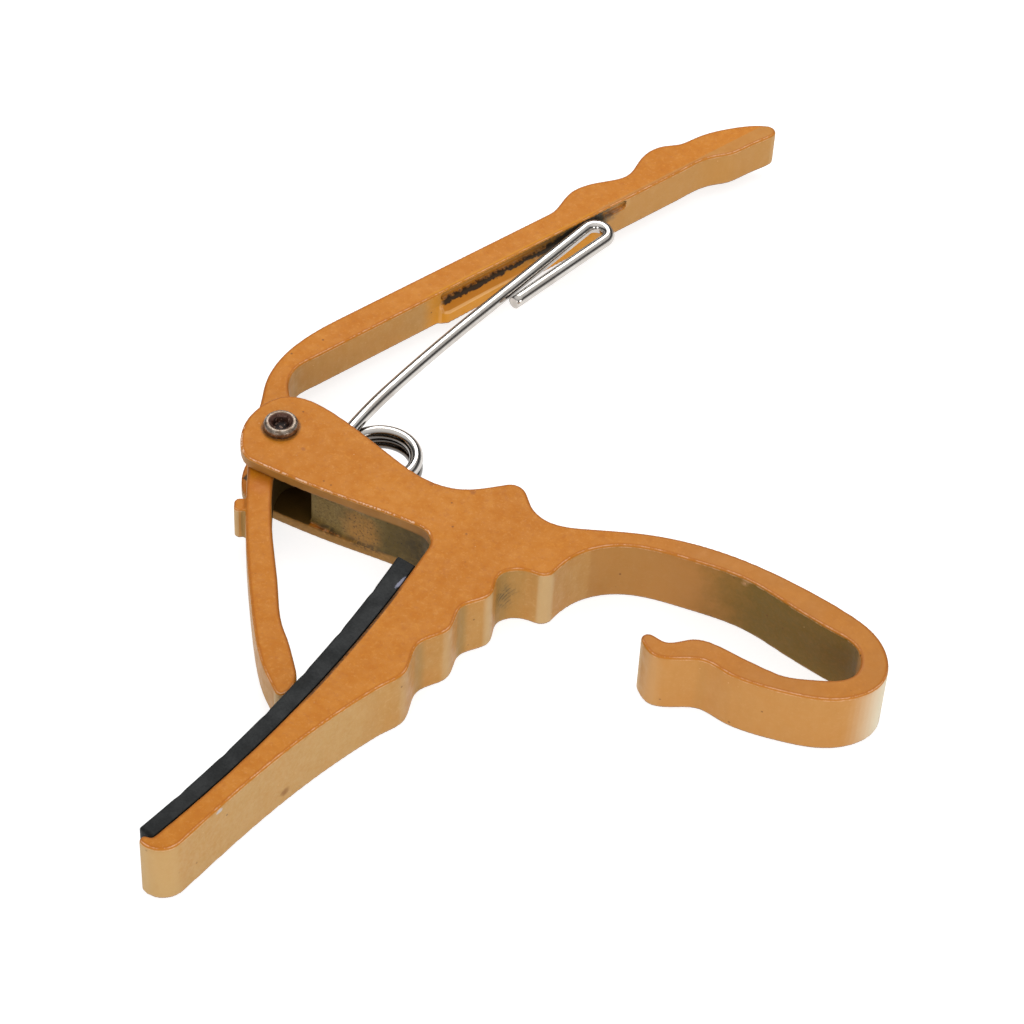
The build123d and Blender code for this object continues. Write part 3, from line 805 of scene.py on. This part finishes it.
def spring_path():
    """Middle line of the wire, from the end of the short leg to the cut end of the hook."""
    points = []
    for i in range(SHORT_LEG_STEPS):
        points.append((COIL[0] + SHORT_LEG * (1 - i / SHORT_LEG_STEPS), COIL[1] - COIL_R, SHORT_LEG_Z))
    for i in range(COIL_STEPS + 1):
        angle = math.radians(COIL_EXIT - 360.0 * COIL_TURNS * i / COIL_STEPS)
        points.append((
            COIL[0] + COIL_R * math.cos(angle),
            COIL[1] + COIL_R * math.sin(angle),
            SHORT_LEG_Z + COIL_PITCH * COIL_TURNS * i / COIL_STEPS,
        ))
    place = points[-1][:2]
    heading = math.radians(COIL_ENTRY) - math.pi / 2
    for target in (LONG_LEG_BOW, LONG_LEG_STRAIGHT):
        run, heading = arc_to(place, heading, target, ARC_STEP)
        points += [(x, y, LONG_LEG_Z) for x, y in run]
        place = target

    def straight(place, heading, length, steps):
        """Adds a straight run and gives its far end."""
        for i in range(1, steps + 1):
            d = length * i / steps
            points.append((place[0] + d * math.cos(heading), place[1] + d * math.sin(heading), LONG_LEG_Z))
        return points[-1][:2]

    place = straight(place, heading, LONG_LEG_RUN, RUN_STEPS)
    x, y = place[0] + HOOK_R * math.sin(heading), place[1] - HOOK_R * math.cos(heading)
    for i in range(1, HOOK_STEPS + 1):
        angle = heading + math.pi / 2 - math.radians(HOOK_TURN) * i / HOOK_STEPS
        points.append((x + HOOK_R * math.cos(angle), y + HOOK_R * math.sin(angle), LONG_LEG_Z))
    straight(points[-1][:2], heading - math.radians(HOOK_TURN), HOOK_RETURN, RETURN_STEPS)
    return [at(*p) for p in points]


def tube(path, radius, sides, nose):
    """A round wire along a path, its cut ends slightly rounded and dished."""
    verts, faces = [], []
    normal = Vector((0, 0, 1))
    rings = []
    count = len(path)

    def ring(centre, across, up, r):
        """Adds one round of points."""
        start = len(verts)
        for k in range(sides):
            a = 2 * math.pi * k / sides
            verts.append(centre + across * (math.cos(a) * r) + up * (math.sin(a) * r))
        rings.append(start)

    for i, point in enumerate(path):
        before, after = path[max(i - 1, 0)], path[min(i + 1, count - 1)]
        along = (after - before).normalized()
        across = along.cross(normal).normalized()
        up = across.cross(along).normalized()
        if i == 0:
            for depth, share in CUT_END:
                ring(point + along * (depth * nose), across, up, radius * share)
        elif i == count - 1:
            for depth, share in reversed(CUT_END):
                ring(point - along * (depth * nose), across, up, radius * share)
        else:
            ring(point, across, up, radius)
    for a, b in zip(rings, rings[1:]):
        for k in range(sides):
            m = (k + 1) % sides
            faces.append((a + k, a + m, b + m, b + k))
    faces.append(tuple(range(rings[0], rings[0] + sides))[::-1])
    faces.append(tuple(range(rings[-1], rings[-1] + sides)))
    return verts, faces


wire_verts, wire_faces = tube(spring_path(), WIRE_R * MM, WIRE_SIDES, WIRE_NOSE)
spring_wire = new_object(
    "spring_wire", mesh_from("spring_wire", wire_verts, wire_faces), None, "torsion_spring"
)
at(COIL[0], COIL[1] - COIL_R, CASTING_TOP / 2)
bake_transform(spring_wire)
spring_wire.data.materials.append(spring_steel("spring_steel"))

# ---- string pad ---------------------------------------------------------------------------
GLUE = 0.15
PAD_ENDS = (-64.9, -9.2)
PAD_THICKNESS = (2.3, 2.85)
PAD_LEVELS = (0.2, 9.8)
PAD_STATIONS = 260
PAD_END_R = 0.35  # rounding of the strip's two ends
PAD_FACE_R = 0.42  # of the edges of its free face
PAD_BACK_R = 0.08  # of the edges on the glued side
CORNER_STEPS = 6
STRING_PITCH = 8.3
STRING_MIDDLE = -37.0
STRING_SHARPNESS = 24
STRING_SINK = 0.10
STRING_REACH = 0.5  # how far round the edge of the free face a mark goes


def pad_section(x_face, x_back, low, high):
    """Outline of the strip's section, with extra points on its long sides so that marks can sink in."""
    corners = ((x_face, low, 180.0), (x_back, low, 270.0), (x_back, high, 0.0), (x_face, high, 90.0))
    outline = []
    for x, z, first in corners:
        r = PAD_FACE_R if x < x_back else PAD_BACK_R
        inwards = 1 if x < x_back else -1
        upwards = 1 if z == low else -1
        for k in range(CORNER_STEPS + 1):
            a = math.radians(first + 90.0 * k / CORNER_STEPS)
            outline.append((x + inwards * r + r * math.cos(a), z + upwards * r + r * math.sin(a)))
    full = []
    for (ax, az), (bx, bz) in zip(outline, outline[1:] + outline[:1]):
        gap = math.hypot(bx - ax, bz - az)
        pieces = 14 if gap > 3 else (4 if gap > 0.8 else 1)
        for k in range(pieces):
            full.append((ax + (bx - ax) * k / pieces, az + (bz - az) * k / pieces))
    return full


def string_mark(y):
    """Depth of the strings' marks at a place along the pad, as a share of the deepest."""
    off = y - STRING_MIDDLE
    if abs(off) > 3.0 * STRING_PITCH:
        return 0.0
    return math.cos(math.pi * (off / STRING_PITCH - 0.5)) ** STRING_SHARPNESS


def pad_mesh():
    """Rounded rubber strip along the seat, with shallow marks where strings pressed it."""
    run = PAD_ENDS[1] - PAD_ENDS[0]
    back_radius = SEAT_RADIUS - GLUE
    verts, rings = [], []
    for i in range(PAD_STATIONS + 1):
        t = i / PAD_STATIONS
        y = PAD_ENDS[0] + t * run
        inset = max(0.0, PAD_END_R - min(t, 1 - t) * run)
        shrink = PAD_END_R - math.sqrt(max(0.0, PAD_END_R**2 - inset**2))
        x_back = SEAT[0] + math.sqrt(back_radius**2 - (y - SEAT[1]) ** 2)
        x_face = x_back - (PAD_THICKNESS[0] + t * (PAD_THICKNESS[1] - PAD_THICKNESS[0]))
        rings.append(len(verts))
        for x, z in pad_section(x_face + shrink, x_back, PAD_LEVELS[0] + shrink, PAD_LEVELS[1] - shrink):
            sink = STRING_SINK * string_mark(y) * max(0.0, 1 - (x - x_face) / STRING_REACH)
            verts.append(at(x + sink, y, z))
    ring_size = rings[1] - rings[0]
    faces = []
    for a, b in zip(rings, rings[1:]):
        for k in range(ring_size):
            m = (k + 1) % ring_size
            faces.append((a + k, b + k, b + m, a + m))
    faces.append(tuple(range(rings[0], rings[0] + ring_size)))
    faces.append(tuple(range(rings[-1], rings[-1] + ring_size))[::-1])
    return mesh_from("string_pad_rubber", verts, faces)


string_pad = new_object("string_pad_rubber", pad_mesh(), "frame", "string_pad")
string_pad.data.materials.append(rubber("pad_rubber"))

# ---- pivot screw ----------------------------------------------------------------------------
HEAD_R = 2.42
HEAD_FOOT_Z = 10.02
HEAD_TOP_Z = 11.22
HEX_HALF = 1.15
SHOULDER_R = 1.75
SHOULDER_FOOT_Z = 1.82
THREAD_R = 1.45
THREAD_PITCH = 0.5
THREAD_DEPTH = 0.14
SCREW_END_Z = 0.1
SCREW_CHAMFER = 0.25
HEAD_CHAMFER = 0.06
HEAD_SIDE = 0.50  # upright side of the head
HEAD_ROUND = (0.52, 0.66)  # its rounded shoulder, inwards and upwards
HEAD_MOUTH = ((1.78, 0.04), (1.66, 0.07), (1.50, 0.16))  # radius and depth, from the dome into the socket
SOCKET = ((0.04, 0.40), (0.0, 0.46), (0.0, 1.0), (0.0, 1.56))  # widening and depth of the hexagon
SOCKET_FLOOR = (0.55, 1.75)
SCREW_SIDES = 96
THREAD_STEPS = 72
ROUND_STEPS = 10


def circle(radius, z):
    """A round row of the screw: radius and height for any angle."""
    return lambda angle: (radius, z)


def thread(z):
    """A row across the thread, which tapers towards the screw's end."""
    taper = max(0.0, SCREW_CHAMFER - (z - SCREW_END_Z))

    def row(angle):
        phase = (z / THREAD_PITCH - angle / (2 * math.pi)) % 1.0
        return THREAD_R - 0.02 - THREAD_DEPTH * abs(2 * phase - 1) - taper, z

    return row


def hexagon(half, z):
    """A six-sided row of the socket, half as wide across its flats as given."""
    def row(angle):
        part = (angle + math.pi / 6) % (math.pi / 3) - math.pi / 6
        return half / math.cos(part), z

    return row


def screw_rows():
    """Rows from the threaded end up the plain shank, over the domed head and down into the socket."""
    length = SHOULDER_FOOT_Z - SCREW_END_Z
    rows = [thread(SCREW_END_Z + length * i / THREAD_STEPS) for i in range(THREAD_STEPS + 1)]
    side = HEAD_FOOT_Z + HEAD_SIDE
    rows += [circle(SHOULDER_R, SHOULDER_FOOT_Z), circle(SHOULDER_R, HEAD_FOOT_Z)]
    rows += [circle(HEAD_R - HEAD_CHAMFER, HEAD_FOOT_Z), circle(HEAD_R, HEAD_FOOT_Z + HEAD_CHAMFER)]
    rows.append(circle(HEAD_R, side))
    for i in range(1, ROUND_STEPS + 1):
        a = math.radians(90.0 * i / ROUND_STEPS)
        rows.append(circle(HEAD_R - HEAD_ROUND[0] * (1 - math.cos(a)), side + HEAD_ROUND[1] * math.sin(a)))
    rows += [circle(radius, HEAD_TOP_Z - depth) for radius, depth in HEAD_MOUTH]
    rows += [hexagon(HEX_HALF + wider, HEAD_TOP_Z - depth) for wider, depth in SOCKET]
    rows.append(circle(SOCKET_FLOOR[0], HEAD_TOP_Z - SOCKET_FLOOR[1]))
    return rows


def screw_mesh():
    """Button-head screw with a hexagon socket, its rows joined by a skin."""
    rows = screw_rows()
    around = SCREW_SIDES
    verts, faces = [], []
    for row in rows:
        for k in range(around):
            angle = 2 * math.pi * k / around
            r, z = row(angle)
            verts.append(at(r * math.cos(angle), r * math.sin(angle), z))
    for j in range(len(rows) - 1):
        for k in range(around):
            m = (k + 1) % around
            faces.append((j * around + k, j * around + m, (j + 1) * around + m, (j + 1) * around + k))
    faces.append(tuple(range(around))[::-1])
    last = (len(rows) - 1) * around
    faces.append(tuple(range(last, last + around)))
    return mesh_from("pivot_screw_turned", verts, faces)


screw = new_object("pivot_screw_turned", screw_mesh(), "frame", "pivot_screw")
screw.data.materials.append(screw_steel("screw_steel"))

# ---- washers and adhesive keep their CAD meshes -----------------------------------------------
for node, material in (
    ("thrust_washer_upper", washer_steel("washer_steel_upper")),
    ("thrust_washer_lower", washer_steel("washer_steel_lower")),
    ("pad_adhesive", adhesive("adhesive_film")),
):
    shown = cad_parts[node]
    shown.data.materials.clear()
    shown.data.materials.append(material)

# ---- floor, light and camera -----------------------------------------------------------------
FLOOR_HALF = 3.0
floor_corners = [(x * FLOOR_HALF, y * FLOOR_HALF, 0) for x, y in ((-1, -1), (1, -1), (1, 1), (-1, 1))]
floor = bpy.data.objects.new("floor", mesh_from("floor", floor_corners, [(0, 1, 2, 3)]))
bpy.context.scene.collection.objects.link(floor)
floor_paint = Nodes("floor_paint")
floor_paint.set(
    Base_Color=(0.50, 0.50, 0.50),
    Roughness=0.6,
    Specular_IOR_Level=0.2,
    Emission_Color=(1.0, 1.0, 1.0),
    Emission_Strength=0.78,
)
floor.data.materials.append(floor_paint.material)


def area_light(name, place, size, power):
    """A round lamp aimed at the middle of the object."""
    data = bpy.data.lights.new(name, "AREA")
    data.shape = "DISK"
    data.size = size
    data.energy = power
    lamp = bpy.data.objects.new(name, data)
    bpy.context.scene.collection.objects.link(lamp)
    lamp.location = place
    lamp.rotation_euler = (-Vector(place)).to_track_quat("-Z", "Y").to_euler()


# grey of the studio against height, from the horizon up: light walls low down, a soft box overhead
SKY_GREYS = ((0.0, 1.0), (0.16, 0.9), (0.30, 0.12), (0.50, 0.10), (0.68, 1.75), (1.0, 2.5))
SKY_STRENGTH = 0.42
world = bpy.data.worlds.new("studio")
bpy.context.scene.world = world
world.use_nodes = True
bpy.context.scene.view_settings.view_transform = "Standard"
sky = world.node_tree
direction = sky.nodes.new("ShaderNodeTexCoord").outputs["Generated"]
split = sky.nodes.new("ShaderNodeSeparateXYZ")
sky.links.new(direction, split.inputs[0])
ramp = sky.nodes.new("ShaderNodeValToRGB")
sky.links.new(split.outputs["Z"], ramp.inputs[0])
stops = ramp.color_ramp.elements
for i, (height, grey) in enumerate(SKY_GREYS):
    stop = stops[i] if i < 2 else stops.new(height)
    stop.position = height
    stop.color = (grey, grey, grey, 1.0)
sky.links.new(ramp.outputs[0], sky.nodes["Background"].inputs[0])
sky.nodes["Background"].inputs[1].default_value = SKY_STRENGTH
area_light("key", (-0.20, 0.26, 0.36), 0.30, 0.92)
area_light("front", (0.20, -0.90, 0.34), 0.5, 1.6)
area_light("right", (0.90, -0.35, 0.30), 0.5, 2.0)

LENS = 116.08
SENSOR = 36.0
AIM = at(31.81, 10.16, 5.0)
CAMERA_AWAY = 0.4494
AZIMUTH, ELEVATION, ROLL = 32.87, 46.5, 3.33  # degrees
camera_data = bpy.data.cameras.new("camera")
camera_data.lens = LENS
camera_data.sensor_width = SENSOR
camera = bpy.data.objects.new("camera", camera_data)
bpy.context.scene.collection.objects.link(camera)
azimuth, elevation, roll = math.radians(AZIMUTH), math.radians(ELEVATION), math.radians(ROLL)
forward = Vector((
    -math.sin(azimuth) * math.cos(elevation),
    math.cos(azimuth) * math.cos(elevation),
    -math.sin(elevation),
))
level = forward.cross(Vector((0, 0, 1))).normalized()
upward = level.cross(forward)
right = level * math.cos(roll) + upward * math.sin(roll)
top = right.cross(forward)
turn = Matrix((right, top, -forward)).transposed().to_4x4()
camera.matrix_world = Matrix.Translation(AIM - forward * CAMERA_AWAY) @ turn
bpy.context.scene.camera = camera
